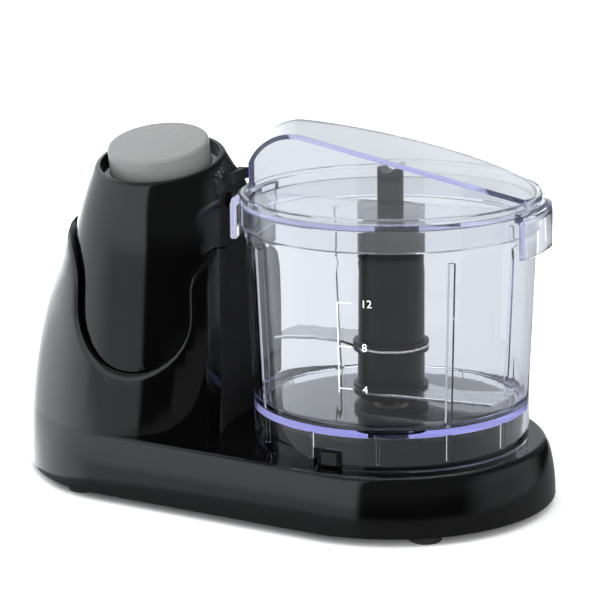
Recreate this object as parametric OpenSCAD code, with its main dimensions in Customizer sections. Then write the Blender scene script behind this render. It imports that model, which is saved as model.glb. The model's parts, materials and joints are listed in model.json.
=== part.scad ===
// Electric mini chopper: an egg-shaped motor tower and a clear bowl with a clear lid on one black base.
// Millimetres, +Z up. The origin is on the table, midway along the base, on its centre line.

/* [Base] */
// Distance from the bowl to the base's bottom edge round it
base_margin = 9.8; // [9:0.1:14]
// Reach of the heel behind the tower axis
heel_reach = 60; // [57:0.5:64]
// Height of the deck above the housing's bottom edge
base_h = 21; // [20:0.5:26]
// How far the base wall draws in from its bottom edge to the deck
base_draft = 3.5; // [2:0.5:4]
// Wall thickness of the black mouldings
wall = 2.4; // [2:0.1:2.8]
// Height of the rubber feet
foot_h = 3; // [2:0.5:5]
// Radius of the rubber feet
foot_r = 6; // [5:0.5:7]

/* [Tower] */
// Radius of the egg at its widest
egg_r = 38.8; // [37:0.2:41]
// Height of the egg's widest level above the deck
egg_rise = 36.6; // [33:0.2:40]
// Upper half height that the egg would have if it weren't cut off
egg_h = 78.8; // [76:0.2:84]
// Height at which the heel's curve would meet the tower axis
heel_h = 115; // [110:1:122]
// Corner radius of the heel's tip
heel_r = 18; // [15:0.5:22]
// How far the tower's foot lies behind the tower axis
tower_back = 7; // [4:0.5:9]
// Height of the skirt's rim above the deck
rim_rise = 75.5; // [72:0.5:78]
// Height of the dome's mouth above the deck
mouth_rise = 98.8; // [96:0.2:101]
// Forward tilt of the dome's mouth
lean = 14; // [10:0.5:16]
// Height above the deck where the tower starts to lean
lean_rise = 23; // [15:1:30]
// Distance from the tower axis to the hollow in the tower's bowl side
tower_front = 25; // [24:0.2:28]
// Gap between the lid's hook tabs and that hollow
cove_gap = 3.7; // [3:0.1:5]
// Width of the dome's front tongue
tongue_w = 43; // [38:0.5:46]
// Height of the tongue's lower end above the deck
tongue_rise = 24.3; // [20:0.5:30]
// Radius with which the tongue flares into the rim
tongue_flare = 20; // [14:0.5:22]

/* [Button] */
// Radius of the push button
button_r = 18.7; // [17:0.1:19.2]
// Height of the button above the dome's mouth
button_proud = 6.4; // [5:0.1:8]
// Travel of the button
button_travel = 4; // [3:0.1:4.5]
// Radius of the recess round the button
recess_r = 22.2; // [21.5:0.1:22.8]
// Depth of the recess round the button
recess_d = 3; // [2:0.1:3.4]

/* [Bowl] */
// Outer radius of the bowl at its floor
bowl_r = 50.2; // [46:0.1:56]
// How much wider the bowl is under the lid
bowl_flare = 2.8; // [1.5:0.1:4]
// Height of the bowl wall from the deck to the lid's lower edge
bowl_wall_h = 78.3; // [76:0.1:80]
// Height of the bowl floor's underside above the deck
floor_rise = 12; // [11:0.2:14]
// Wall thickness of the clear mouldings
clear_wall = 2; // [1.6:0.1:2.4]
// Outer radius of the bowl's centre chimney
chimney_r = 8.6; // [8:0.1:9]
// Height of the chimney above the bowl floor
chimney_h = 24; // [20:0.5:26]
// Depth of the tall ribs inside the bowl
rib_d = 2; // [1:0.1:2.4]
// Gap between the bowl's lower skirt and the boss inside it
boss_gap = 2.2; // [1.8:0.1:2.6]

/* [Lid] */
// How far the lid's skirt stands out past the bowl
lid_over = 1; // [0.8:0.1:1.6]
// Height of the lid's skirt below its plate
lid_skirt_h = 7.1; // [6:0.1:8]
// Height of the lid's rim above its plate
lid_rim_h = 2.6; // [2:0.1:3.5]
// Distance of the grip wall's face in front of the bowl axis
grip_y = 7.5; // [7.2:0.1:9]
// Corner radius at the raised end of the lid
peak_r = 17.4; // [16.6:0.1:17.6]
// Distance of the raised end from the lid's side
peak_inset = 0.7; // [0.5:0.1:3]
// Height of the peak's corner centre above the plate's underside
peak_rise = 6.5; // [5.8:0.1:8]
// Fall of the lid's raised top
peak_slope = 13.1; // [12:0.1:13.6]
// Turn of the raised top's fall from the base's length
peak_turn = 23; // [15:1:26]
// How far the two hook tabs stand out past the lid's skirt
tab_reach = 4.3; // [3.6:0.1:5]
// How far the tabs hang below the lid's skirt
tab_hang = 6.8; // [4:0.1:9]
// Width of the hook tabs in degrees
tab_span = 34; // [24:1:40]

/* [Blades] */
// Radius of the blade hub
hub_r = 12.15; // [11.8:0.05:13]
// Radius of the post on top of the hub
post_r = 4.75; // [4:0.05:4.9]
// Gap between the blades' tips and the bowl wall
blade_gap = 3.7; // [3:0.1:8]
// Thickness of the blades
blade_t = 1.2; // [0.8:0.1:1.6]
// Height of the lower blade above the bowl floor
lower_blade_rise = 3.4; // [3:0.1:5]
// Height of the upper blade above the lower one
blade_step = 16; // [12:0.5:20]

/* [Drive] */
// Radius of the motor can
motor_r = 18; // [16:0.2:18.4]
// Length of the motor can
can_h = 42; // [38:0.5:43]
// Radius of the motor shaft
shaft_r = 2; // [1.6:0.1:2.4]
// Groove radius of the motor pulley
small_pulley_r = 7; // [6:0.5:8]
// Groove radius of the bowl pulley
large_pulley_r = 28; // [24:0.5:30]
// Width of the belt
belt_w = 6; // [5:0.5:7]
// Thickness of the belt
belt_t = 1.6; // [1.2:0.1:2]
// Radius of the drive spindle
spindle_r = 4; // [3.6:0.1:4.4]
// Corner radius of the spindle's six-sided drive end
drive_r = 5.2; // [5:0.1:5.6]
// Length of the six-sided drive end
drive_h = 13; // [10:0.5:14]

/* [Hidden] */
$fn = 96;

// Clearances: between seated shells, between turning curved faces, and between a shaft and its bush
seat_gap = 0.25;
run_gap = 0.3;
fit_gap = 0.05;
over = 1;

// Sizes that follow from the bowl outwards
bowl_top_r = bowl_r + bowl_flare;
lid_r = bowl_top_r + lid_over;
tab_r = lid_r + tab_reach;
cove_r = tab_r + cove_gap;
axis_gap = cove_r + tower_front;
bowl_end_r = bowl_r + base_margin;
peak_x = lid_r - 1 - peak_inset - peak_r;
blade_tip_r = bowl_r - clear_wall - blade_gap;

// Levels
deck_z = foot_h + base_h;
egg_z = deck_z + egg_rise;
rim_z = deck_z + rim_rise;
mouth_z = deck_z + mouth_rise;
lean_z = deck_z + lean_rise;
tongue_z = deck_z + tongue_rise;

// Skirt: it stands outside the dome's skin by its own wall and the gap between them
skirt_out = seat_gap + wall;
rim_round = 2;
deck_round = 1.8;
deck_step = 0.1;
foot_step = 0.8;
heel_soft = 4;
lip_h = 7;
sides = 72;

function climb(z) = max(0, min(1, (z - foot_h) / (rim_z - foot_h)));
function egg_at(z) = z < egg_z ? egg_r : egg_r * sqrt(1 - pow((z - egg_z) / egg_h, 2));
// The base wall stands upright at its foot and leans in more and more towards the deck
function base_climb(z) = max(0, min(1, (z - foot_h) / base_h));
function flare_at(z) = base_draft * (1 - pow(base_climb(z), 2));
function heel_tip_at(z) = heel_reach * sqrt(max(0, 1 - pow((z - foot_h) / heel_h, 2)));
function heel_round_at(z) = min(
    heel_r + (egg_at(rim_z) + skirt_out - heel_r) * pow(climb(z), 2), egg_at(z) + skirt_out);
function lean_share(z) = max(0, (z - lean_z) / (mouth_z - lean_z));
function tilt_at(z) = atan(tan(lean) * lean_share(z));
function shift_at(z) = -tan(lean) * (mouth_z - lean_z) * pow(lean_share(z), 2) / 2;

// Support of an outline in a direction: its reach, and how fast the reach changes as the direction turns
function disc(centre, r, a) = [centre * cos(a) + r, -centre * sin(a)];
function longer(p, q) = p[0] > q[0] ? p : q;
function blend(p, q, soft) =
    let (s = max(norm([p[0] - q[0], soft]), 0.000001))
    [(p[0] + q[0] + s) / 2, (p[1] + q[1] + (p[0] - q[0]) * (p[1] - q[1]) / s) / 2];
function tower_support(z, out, a) = blend(
    disc(-tower_back * (1 - climb(z)), egg_at(z) + flare_at(z) + out, a),
    disc(-max(0, heel_tip_at(z) - heel_round_at(z)), heel_round_at(z) - skirt_out + out, a),
    heel_soft * (1 - climb(z)));
function base_support(z, out, edge, a) = longer(
    disc(axis_gap, bowl_end_r - base_draft + flare_at(z) + out - edge, a),
    tower_support(z, skirt_out + out, a));
function outline_point(s, a) = [s[0] * cos(a) - s[1] * sin(a), s[0] * sin(a) + s[1] * cos(a)];

// The heel's real tip and the bowl end are the two ends of the base, so they set where the axes lie
heel_end = tower_support(foot_h, skirt_out, 180)[0];
bowl_x = (axis_gap + heel_end - bowl_end_r) / 2;
tower_x = bowl_x - axis_gap;

function tower_ring(z, out) = [for (i = [0:sides - 1])
    let (a = 360 * i / sides, p = outline_point(tower_support(z, out, a), a), t = tilt_at(z))
    [tower_x + p[0], shift_at(z) + p[1] * cos(t), z + p[1] * sin(t)]];
function base_outline(z, out, edge = 0) = [for (i = [0:sides - 1])
    let (a = 360 * i / sides, p = outline_point(base_support(z, out, edge, a), a))
    [tower_x + p[0], p[1]]];
function base_ring(z, out, edge = 0) = [for (p = base_outline(z, out, edge)) [p[0], p[1], z]];
function levels(low, high, count) = [for (i = [0:count]) low + (high - low) * i / count];

// Solid through a stack of rings with the same number of points
module loft(rings) {
    n = len(rings[0]);
    m = len(rings);
    walls = [for (j = [0:m - 2], i = [0:n - 1])
        let (k = (i + 1) % n, a = j * n, b = a + n)
        each [[a + i, b + i, b + k], [a + i, b + k, a + k]]];
    low_cap = [[for (i = [0:n - 1]) i]];
    high_cap = [[for (i = [n - 1:-1:0]) (m - 1) * n + i]];
    polyhedron(points = [for (r = rings) each r], faces = concat(low_cap, walls, high_cap));
}

module at_bowl(z = 0) translate([bowl_x, 0, z]) children();
module at_tower(z = 0) translate([tower_x, 0, z]) children();
// Frame of the dome's mouth: the button's axis is its Z
module at_mouth() translate([tower_x, shift_at(mouth_z), mouth_z]) rotate([lean, 0, 0]) children();
module tube(r_out, r_in, h) difference() {
    cylinder(r = r_out, h = h);
    translate([0, 0, -over]) cylinder(r = r_in, h = h + 2 * over);
}
module mirror_y() {
    children();
    mirror([0, 1, 0]) children();
}

// Coil spring along Z, one tube swept along a helix
module coil(r, wire_r, turns, h) {
    steps = 12;
    corners = 6;
    count = steps * turns;
    loft([for (i = [0:count]) [for (j = [0:corners - 1])
        let (a = -360 * i / steps, b = 360 * j / corners, q = r + wire_r * cos(b))
        [q * cos(a), q * sin(a), wire_r + (h - 2 * wire_r) * i / count + wire_r * sin(b)]]]);
}

// Base housing

// Outline of the dome's tongue in the front view, drawn in by a gap
tongue_mid = tongue_z + tongue_w / 2;
tongue_shoulder = rim_z - tongue_flare - 1.5;
tongue_back_y = 9;
module tongue_outline(gap) translate([tower_x, 0]) {
    half = tongue_w / 2;
    translate([0, tongue_mid]) circle(r = half - gap);
    translate([gap - half, tongue_mid]) square([tongue_w - 2 * gap, rim_z - tongue_mid]);
    difference() {
        translate([-half - tongue_flare, tongue_shoulder])
            square([tongue_w + 2 * tongue_flare, rim_z + lip_h - tongue_shoulder]);
        for (s = [-1, 1])
            translate([s * (half + tongue_flare), tongue_shoulder]) circle(r = tongue_flare + gap);
    }
}
module tongue_prism(gap) translate([0, -tongue_back_y, 0]) rotate([90, 0, 0])
    linear_extrude(2 * egg_r) tongue_outline(gap);

// Path of the skirt's edge along the tongue, seen from the front: each stop is [x, z, outward x, outward z]
flare_end = 68;
function flare_stop(s, a) = [
    s * (tongue_w / 2 + tongue_flare * (1 - cos(a))), tongue_shoulder + tongue_flare * sin(a),
    s * cos(a), -sin(a)];
function bend_stop(a) = [
    tongue_w / 2 * cos(a), tongue_mid + tongue_w / 2 * sin(a), cos(a), sin(a)];
function edge_stops() = concat(
    [for (a = [flare_end:-8.5:0]) flare_stop(-1, a)],
    [for (a = [180:10:360]) bend_stop(a)],
    [for (a = [0:8.5:flare_end]) flare_stop(1, a)]);
// Point of the skirt's front at a given x and z, found by halving the angle and then correcting the level
function front_angle(z, out, x, low = 180, high = 360, tries = 16) =
    let (a = (low + high) / 2)
    tries == 0 ? a
    : outline_point(tower_support(z, out, a), a)[0] < x ? front_angle(z, out, x, a, high, tries - 1)
    : front_angle(z, out, x, low, a, tries - 1);
function front_y(x, z, out, level, tries = 5) =
    let (a = front_angle(level, out, x), p = outline_point(tower_support(level, out, a), a))
    tries == 0 ? shift_at(level) + p[1] * cos(tilt_at(level))
    : front_y(x, z, out, z - p[1] * sin(tilt_at(level)), tries - 1);
// What is cut off the skirt's edge to round it over: the arc's section, swept along that path
edge_w = 5.6;
edge_d = 1.7;
edge_rise = 0.5;
edge_lip = 0.3;
edge_section = concat(
    [for (a = [60:-20:0]) [edge_lip + edge_w * (1 - cos(a)), (edge_d + edge_rise) * sin(a) - edge_d]],
    [[-1.5, -edge_d], [-1.5, 2], [edge_lip + edge_w / 2, 2]]);
// At its upper end the cut runs out of the skin
module edge_waste() {
    stops = edge_stops();
    loft([for (i = [0:len(stops) - 1]) [for (p = edge_section)
        let (s = stops[i], x = s[0] + s[2] * p[0], z = s[1] + s[3] * p[0], lift = i == 0 ? edge_d + 0.5 : 0)
        [tower_x + x, front_y(x, z, skirt_out, z) - p[1] - lift, z]]]);
}

// Hollow round the bowl, above a level
module cove(grow, z) at_bowl(z) cylinder(r = cove_r + grow, h = mouth_z + heel_reach - z);

// Boss that centres the bowl, with its bayonet lugs and the tube that carries the spindle's bush
boss_r = bowl_r - clear_wall - boss_gap;
boss_top = deck_z + floor_rise - wall;
bush_r = spindle_r + 2.4;
bush_low = deck_z - wall - 1;
lug_count = 3;
lug_first = -96;
lug_span = 7;
lug_r = bowl_r - 0.9;
lug_low = 1;
lug_h = 4.5;
// Screw posts of the housing: beside the bowl and in the heel
post_hole_r = 1.5;
screw_post_r = 3.6;
bowl_post = [bowl_x, 0] + (boss_r + screw_post_r + 1.6) * [cos(51.3), sin(51.3)];
heel_post = [tower_x - 28.8, 28.5];
plate_t = wall;
plate_top = foot_h + plate_t;
heel_post_top = deck_z + 6;
// Bush in the rear wall for a mains lead
gland_r = 5;
gland_x = tower_x - tower_back;
gland_z = foot_h + base_h / 2;

module bayonet_sector(span, r_in, r_out, low, h) for (i = [0:lug_count - 1])
    rotate([0, 0, lug_first + 360 / lug_count * i - span / 2]) rotate_extrude(angle = span)
        translate([r_in, low]) square([r_out - r_in, h]);

module housing_outer() loft(concat(
    [for (z = levels(foot_h, deck_z - deck_step - deck_round, 5)) base_ring(z, 0)],
    [for (a = [30, 60, 90])
        base_ring(deck_z - deck_step - deck_round * (1 - sin(a)), 0, deck_round * (1 - cos(a)))],
    [for (z = levels(deck_z + foot_step, rim_z - rim_round, 11)) tower_ring(z, skirt_out)],
    [for (a = [30, 60, 90])
        tower_ring(rim_z - rim_round * (1 - sin(a)), skirt_out - rim_round * (1 - cos(a)))]));
module housing_inner() difference() {
    loft(concat(
        [for (z = levels(foot_h - over, deck_z - wall, 4)) base_ring(z, -wall)],
        [for (z = levels(deck_z - wall + foot_step, rim_z + lip_h, 9)) tower_ring(z, seat_gap)]));
    cove(wall, deck_z - wall);
}
module bowl_boss() {
    tube(boss_r, boss_r - wall, boss_top - deck_z + wall);
    translate([0, 0, boss_top - deck_z]) tube(boss_r, bush_r + fit_gap, wall);
    translate([0, 0, bush_low - deck_z + wall]) tube(bush_r + wall, bush_r + fit_gap, boss_top - bush_low);
    translate([0, 0, wall]) bayonet_sector(lug_span, boss_r - wall / 2, lug_r, lug_low, lug_h);
}
module screw_post(at, top) translate([at[0], at[1], plate_top])
    tube(screw_post_r, post_hole_r + fit_gap, top - plate_top);
module base_housing() color("#141416") {
    difference() {
        housing_outer();
        housing_inner();
        cove(0, deck_z);
        tongue_prism(0);
        edge_waste();
        at_bowl(foot_h) cylinder(r = boss_r - wall / 2, h = base_h + over);
        translate([gland_x, 0, gland_z]) rotate([-90, 0, 0])
            cylinder(r = gland_r + fit_gap, h = heel_reach);
    }
    at_bowl(deck_z - wall) bowl_boss();
    mirror_y() {
        screw_post(bowl_post, deck_z - wall / 2);
        screw_post(heel_post, heel_post_top);
    }
}

// Tower dome

dome_top = mouth_z - recess_d - wall;
mouth_round = 0.9;
hole_gap = 0.35;
nose_r = tab_r + 1.3;
nose_h = 4;
nose_w = 15;
nose_rise = 90;
nose_z = deck_z + nose_rise;
// Interlock plunger, in the mouth's frame
plunger_r = 2.6;
plunger_u = -15;
plunger_tip = axis_gap - tab_r - run_gap;

// Everything above the skirt's rim plane, moved along the plane's normal
module above_rim(lift) translate([tower_x, shift_at(rim_z), rim_z]) rotate([tilt_at(rim_z), 0, 0])
    translate([-heel_reach * 2, -heel_reach * 2, lift])
    cube([heel_reach * 4, heel_reach * 4, mouth_z]);
module dome_outer() loft(concat(
    [for (z = levels(tongue_z - over, mouth_z - mouth_round, 12)) tower_ring(z, 0)],
    [tower_ring(mouth_z - mouth_round * 0.3, -mouth_round * 0.3)],
    [tower_ring(mouth_z, -mouth_round)]));
module dome_inner() difference() {
    loft([for (z = levels(tongue_z - 3 * over, dome_top, 10)) tower_ring(z, -wall)]);
    cove(wall, deck_z);
}
module dome_nose() at_bowl(nose_z) intersection() {
    tube(cove_r + wall / 2, nose_r, nose_h);
    translate([-cove_r - wall, -nose_w / 2, 0]) cube([wall * 3, nose_w, nose_h]);
}
module tower_dome() color("#141416") {
    difference() {
        dome_outer();
        // below the rim only the lip and the tongue stay
        difference() {
            translate([tower_x - heel_reach, -heel_reach, 0])
                cube([2 * heel_reach, 2 * heel_reach, mouth_z]);
            above_rim(-lip_h);
            tongue_prism(2 * seat_gap);
        }
        // the lip keeps clear of the skirt's hollow wall
        difference() {
            cove(wall + seat_gap, deck_z);
            above_rim(seat_gap);
            tongue_prism(2 * seat_gap);
        }
        dome_inner();
        cove(0, deck_z);
        at_mouth() {
            translate([0, 0, -recess_d]) cylinder(r = recess_r, h = recess_d + 3 * over);
            translate([0, 0, -recess_d - 2 * wall]) cylinder(r = button_r + hole_gap, h = 4 * wall);
            translate([0, 0, plunger_u]) rotate([0, 90, 0])
                cylinder(r = plunger_r + 2 * fit_gap, h = plunger_tip + over);
        }
    }
    dome_nose();
}

// Bottom of the base

pillar_r = 3.5;
pillar_at = [13, 18];
bracket_low = plate_top + 22.6;
bracket_t = 3;
cup_top = plate_top + 2;
board_size = [22, 20, 1.6];
board_at = [tower_x - 48, -10];
board_z = plate_top + 4.6;
standoff_r = 2;
standoff_in = 3;
screw_r = 1.45;
screw_head_r = 2.8;
screw_head_h = 1.4;
screw_l = 11;
slot_l = 3.2;
slot_w = 0.8;
bracket_screw_l = 9;
foot_bowl = [bowl_x, 0] + (bowl_end_r - foot_r - 1.3) * [cos(56.6), sin(56.6)];
foot_heel = [tower_x - 23, 33];
foot_stud_r = 2;
vent_count = 5;

module pillars() for (x = [-1, 1], y = [-1, 1])
    translate([tower_x + x * pillar_at[0], y * pillar_at[1], 0]) children();
module base_screws_at() mirror_y() {
    translate([bowl_post[0], bowl_post[1], 0]) children();
    translate([heel_post[0], heel_post[1], 0]) children();
}
module feet_at() mirror_y() {
    translate([foot_bowl[0], foot_bowl[1], 0]) children();
    translate([foot_heel[0], foot_heel[1], 0]) children();
}
module board_corners()
    for (x = [standoff_in, board_size[0] - standoff_in])
    for (y = [standoff_in, board_size[1] - standoff_in])
    translate([board_at[0] + x, board_at[1] + y, 0]) children();
module bottom_plate() color("#1c1c1e") {
    difference() {
        union() {
            translate([0, 0, foot_h]) linear_extrude(plate_t)
                polygon(base_outline(foot_h + plate_t, -wall - 0.2));
            at_bowl(plate_top) cylinder(r = 2 * spindle_r, h = cup_top - plate_top);
            pillars() translate([0, 0, plate_top]) cylinder(r = pillar_r, h = bracket_low - plate_top);
            board_corners() translate([0, 0, plate_top]) cylinder(r = standoff_r, h = board_z - plate_top);
        }
        at_bowl(plate_top) cylinder(r = spindle_r + fit_gap, h = base_h);
        pillars() translate([0, 0, bracket_low - bracket_screw_l])
            cylinder(r = screw_r + fit_gap, h = base_h);
        base_screws_at() {
            translate([0, 0, foot_h - over]) cylinder(r = screw_r + fit_gap, h = plate_t + 2 * over);
            translate([0, 0, foot_h - over])
                cylinder(r = screw_head_r + 2 * fit_gap, h = screw_head_h + over);
        }
        feet_at() translate([0, 0, foot_h - over])
            cylinder(r = foot_stud_r + fit_gap, h = plate_t + 2 * over);
        for (i = [0:vent_count - 1])
            translate([tower_x - 2 + 4 * (i - vent_count / 2), -7, foot_h - over])
                cube([2, 14, plate_t + 2 * over]);
    }
}
module rubber_feet() color("#0c0c0c") feet_at() {
    cylinder(r1 = foot_r - 0.6, r2 = foot_r, h = 0.6);
    translate([0, 0, 0.6]) cylinder(r = foot_r, h = foot_h - 0.6);
    translate([0, 0, foot_h]) cylinder(r = foot_stud_r, h = plate_t);
}
module bottom_screws() color("#9a9a9c") base_screws_at() {
    difference() {
        translate([0, 0, foot_h]) cylinder(r = screw_head_r, h = screw_head_h);
        for (a = [0, 90])
            rotate([0, 0, a]) translate([-slot_l / 2, -slot_w / 2, foot_h - over])
                cube([slot_l, slot_w, over + slot_w]);
    }
    translate([0, 0, foot_h + screw_head_h]) cylinder(r = screw_r, h = screw_l);
}
// The gland's flange bears inside the rear wall, which curves away below it and to its sides
gland_flange_r = gland_r + 1.8;
gland_flange_t = 2;
gland_end_y = egg_at(gland_z) + flare_at(gland_z) + skirt_out + 2.5;
gland_wall_y = egg_at(gland_z) + flare_at(gland_z + gland_flange_r) + skirt_out - wall - 0.9;
module cord_gland() color("#0e0e0e") translate([gland_x, gland_wall_y, gland_z]) rotate([-90, 0, 0])
    difference() {
        union() {
            translate([0, 0, -gland_flange_t])
                cylinder(r = gland_r, h = gland_end_y - gland_wall_y + gland_flange_t);
            translate([0, 0, -gland_flange_t]) cylinder(r = gland_flange_r, h = gland_flange_t);
        }
        translate([0, 0, -2 * gland_flange_t]) cylinder(r = gland_r - 1.8, h = heel_reach);
    }

// Motor

can_low = bracket_low + bracket_t;
can_top = can_low + can_h;
cap_h = 8;
cap_top = can_top + cap_h;
can_wall = 1.4;
nose_boss_r = 5.5;
nose_boss_h = bracket_t;
motor_bush_r = 4;
magnet_t = 2.9;
magnet_r = motor_r - can_wall - 0.1;
rotor_r = magnet_r - magnet_t - 0.6;
rotor_low = can_low + 9;
rotor_h = 22;
slots = 7;
slot_r = 1.5;
slot_at = rotor_r - 1.3;
winding_h = 4;
commutator_r = 4.5;
commutator_h = 7;
commutator_gap = 0.5;
cap_bush_h = 3;
fan_low = plate_top + 13;
fan_h = 6;
fan_r = 13.5;
shaft_low = plate_top + 1.2;
bracket_back = 20;
bracket_front = 18;
bracket_half = 22;
mount_screw_at = 11;

module motor_bracket() color("#8f9296") difference() {
    at_tower(bracket_low) translate([-bracket_back, -bracket_half, 0])
        cube([bracket_back + bracket_front, 2 * bracket_half, bracket_t]);
    at_tower(bracket_low - over) cylinder(r = nose_boss_r + 2 * fit_gap, h = bracket_t + 2 * over);
    pillars() translate([0, 0, bracket_low - over])
        cylinder(r = screw_r + fit_gap, h = bracket_t + 2 * over);
    for (s = [-1, 1]) at_tower(bracket_low - over)
        translate([0, s * mount_screw_at, 0]) cylinder(r = screw_r + fit_gap, h = bracket_t + 2 * over);
}
module bracket_screws() color("#b8babd") {
    pillars() {
        translate([0, 0, can_low]) cylinder(r = screw_head_r, h = screw_head_h);
        translate([0, 0, can_low - bracket_screw_l]) cylinder(r = screw_r, h = bracket_screw_l);
    }
    for (s = [-1, 1]) at_tower(bracket_low) translate([0, s * mount_screw_at, 0]) {
        translate([0, 0, -screw_head_h]) cylinder(r = screw_head_r, h = screw_head_h);
        cylinder(r = screw_r, h = bracket_t + can_wall);
    }
}
module motor_can() color("#a9acb0") at_tower() difference() {
    union() {
        translate([0, 0, can_low]) cylinder(r = motor_r, h = can_h);
        translate([0, 0, can_low - nose_boss_h]) cylinder(r = nose_boss_r, h = nose_boss_h + over);
    }
    translate([0, 0, can_low + can_wall]) cylinder(r = motor_r - can_wall, h = can_h);
    translate([0, 0, can_low - nose_boss_h - over])
        cylinder(r = motor_bush_r + fit_gap, h = nose_boss_h + 4 * over);
    for (s = [-1, 1]) translate([0, s * mount_screw_at, can_low - over])
        cylinder(r = screw_r + fit_gap, h = 4 * over);
}
module motor_magnets() color("#3a3a3e") at_tower(can_low + 6) for (s = [0, 180])
    rotate([0, 0, s - 62]) rotate_extrude(angle = 124)
        translate([magnet_r - magnet_t, 0]) square([magnet_t, can_h - 12]);
module motor_end_cap() color("#202022") at_tower(can_top) difference() {
    cylinder(r = motor_r, h = cap_h);
    translate([0, 0, -over]) cylinder(r = motor_r - 2 * can_wall, h = cap_h - 2);
    translate([0, 0, -over]) cylinder(r = motor_bush_r + fit_gap, h = cap_h + 2 * over);
    for (i = [0:5]) rotate([0, 0, 60 * i]) translate([10, 0, 0]) cylinder(r = 2.2, h = cap_h + over);
}
module motor_bushes() color("#b08d3e") at_tower() {
    translate([0, 0, can_low - nose_boss_h]) tube(motor_bush_r, shaft_r + fit_gap, nose_boss_h + 2);
    translate([0, 0, cap_top - cap_bush_h]) tube(motor_bush_r, shaft_r + fit_gap, cap_bush_h);
}
module motor_shaft() color("#c9ccd0") at_tower(shaft_low)
    cylinder(r = shaft_r, h = cap_top + 1.5 - shaft_low);
module motor_armature() color("#77797d") at_tower(rotor_low) difference() {
    cylinder(r = rotor_r, h = rotor_h);
    translate([0, 0, -over]) cylinder(r = shaft_r, h = rotor_h + 2 * over);
    for (i = [0:slots - 1]) rotate([0, 0, 360 / slots * i]) translate([slot_at, 0, -over])
        cylinder(r = slot_r, h = rotor_h + 2 * over);
}
module motor_windings() color("#b5642d") at_tower(rotor_low) {
    for (z = [-winding_h, rotor_h]) translate([0, 0, z])
        tube(slot_at + slot_r - 0.2, shaft_r + 1.5, winding_h);
    for (i = [0:slots - 1]) rotate([0, 0, 360 / slots * i]) translate([slot_at, 0, -over])
        cylinder(r = slot_r - 0.1, h = rotor_h + 2 * over);
}
commutator_low = rotor_low + rotor_h + winding_h + commutator_gap;
module motor_commutator() color("#b5642d") at_tower(commutator_low) difference() {
    tube(commutator_r, shaft_r, commutator_h);
    for (i = [0:slots - 1]) rotate([0, 0, 360 / slots * i])
        translate([commutator_r - 0.8, -0.3, -over]) cube([2, 0.6, commutator_h + 2 * over]);
}
module motor_fan() color("#e6e6e2") at_tower(fan_low) {
    tube(fan_r, shaft_r, 1.2);
    tube(4.5, shaft_r, fan_h);
    for (i = [0:7]) rotate([0, 0, 45 * i]) translate([4, -0.5, 0]) cube([fan_r - 4.3, 1, fan_h]);
}

// Belt drive

flange_w = 1;
belt_low = cup_top + 2 * run_gap + flange_w;
belt_ribs = 3;
rib_w = belt_w / (2 * belt_ribs);
groove_d = 0.7;
pulley_low = belt_low - run_gap - flange_w;
pulley_h = belt_w + 2 * (run_gap + flange_w);
spindle_low = plate_top + 0.2;
hex_low = deck_z + floor_rise + clear_wall + chimney_h + 0.5;
spindle_top = hex_low + drive_h;

// Rim of a pulley: two flanges and a grooved seat for the ribbed belt
module pulley_rim(r, bore) difference() {
    union() {
        cylinder(r = r + belt_t, h = flange_w);
        translate([0, 0, pulley_h - flange_w]) cylinder(r = r + belt_t, h = flange_w);
        cylinder(r = r, h = pulley_h);
    }
    for (i = [0:belt_ribs - 1]) translate([0, 0, flange_w + run_gap + rib_w * (2 * i + 0.5) - run_gap])
        tube(r + over, r - groove_d, rib_w + 2 * run_gap);
    translate([0, 0, -over]) cylinder(r = bore, h = pulley_h + 2 * over);
}
module motor_pulley() color("#d9d9d4") at_tower(pulley_low) pulley_rim(small_pulley_r, shaft_r);
module bowl_pulley() color("#d9d9d4") at_bowl(pulley_low) {
    pulley_rim(large_pulley_r, large_pulley_r - 3.5);
    tube(2 * spindle_r, spindle_r, pulley_h);
    difference() {
        translate([0, 0, pulley_h / 2 - 1.2]) tube(large_pulley_r - 3, 2 * spindle_r - over, 2.4);
        for (i = [0:5]) rotate([0, 0, 60 * i]) translate([(large_pulley_r + spindle_r) / 2, 0, 0])
            cylinder(r = 5, h = pulley_h);
    }
}
// Loop round both pulleys, standing off their seats
module belt_loop(out) {
    big = large_pulley_r + out;
    small = small_pulley_r + out;
    lean_a = acos((large_pulley_r - small_pulley_r) / axis_gap);
    translate([bowl_x, 0]) circle(r = big);
    translate([tower_x, 0]) circle(r = small);
    polygon([
        [bowl_x - big * cos(lean_a), big * sin(lean_a)],
        [tower_x - small * cos(lean_a), small * sin(lean_a)],
        [tower_x - small * cos(lean_a), -small * sin(lean_a)],
        [bowl_x - big * cos(lean_a), -big * sin(lean_a)]]);
}
module belt_band(inside, h) linear_extrude(h) difference() {
    belt_loop(belt_t);
    belt_loop(inside);
}
module drive_belt() color("#161616") translate([0, 0, belt_low]) {
    belt_band(run_gap, belt_w);
    for (i = [0:belt_ribs - 1]) translate([0, 0, rib_w * (2 * i + 0.5)])
        belt_band(run_gap - groove_d, rib_w);
}
module drive_spindle() color("#c4c7cb") at_bowl() {
    translate([0, 0, spindle_low]) cylinder(r = spindle_r, h = hex_low + over - spindle_low);
    translate([0, 0, hex_low]) cylinder(r = drive_r, h = drive_h, $fn = 6);
}
module spindle_bush() color("#b08d3e") at_bowl(bush_low)
    tube(bush_r, spindle_r + fit_gap, boss_top - bush_low);

rectifier_size = [12, 10, 5];
rectifier_at = [3, 7];
capacitor_r = 3;
capacitor_h = 9;
capacitor_at = [18, 6];
terminal_size = [9, 3, 3];
terminal_at = [5, 2];
module circuit_board() color("#2f6b3a") {
    translate([board_at[0], board_at[1], board_z]) {
        cube(board_size);
        translate([rectifier_at[0], rectifier_at[1], board_size[2]]) cube(rectifier_size);
        translate([capacitor_at[0], capacitor_at[1], board_size[2]])
            cylinder(r = capacitor_r, h = capacitor_h);
        translate([terminal_at[0], terminal_at[1], board_size[2]]) cube(terminal_size);
    }
}

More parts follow.
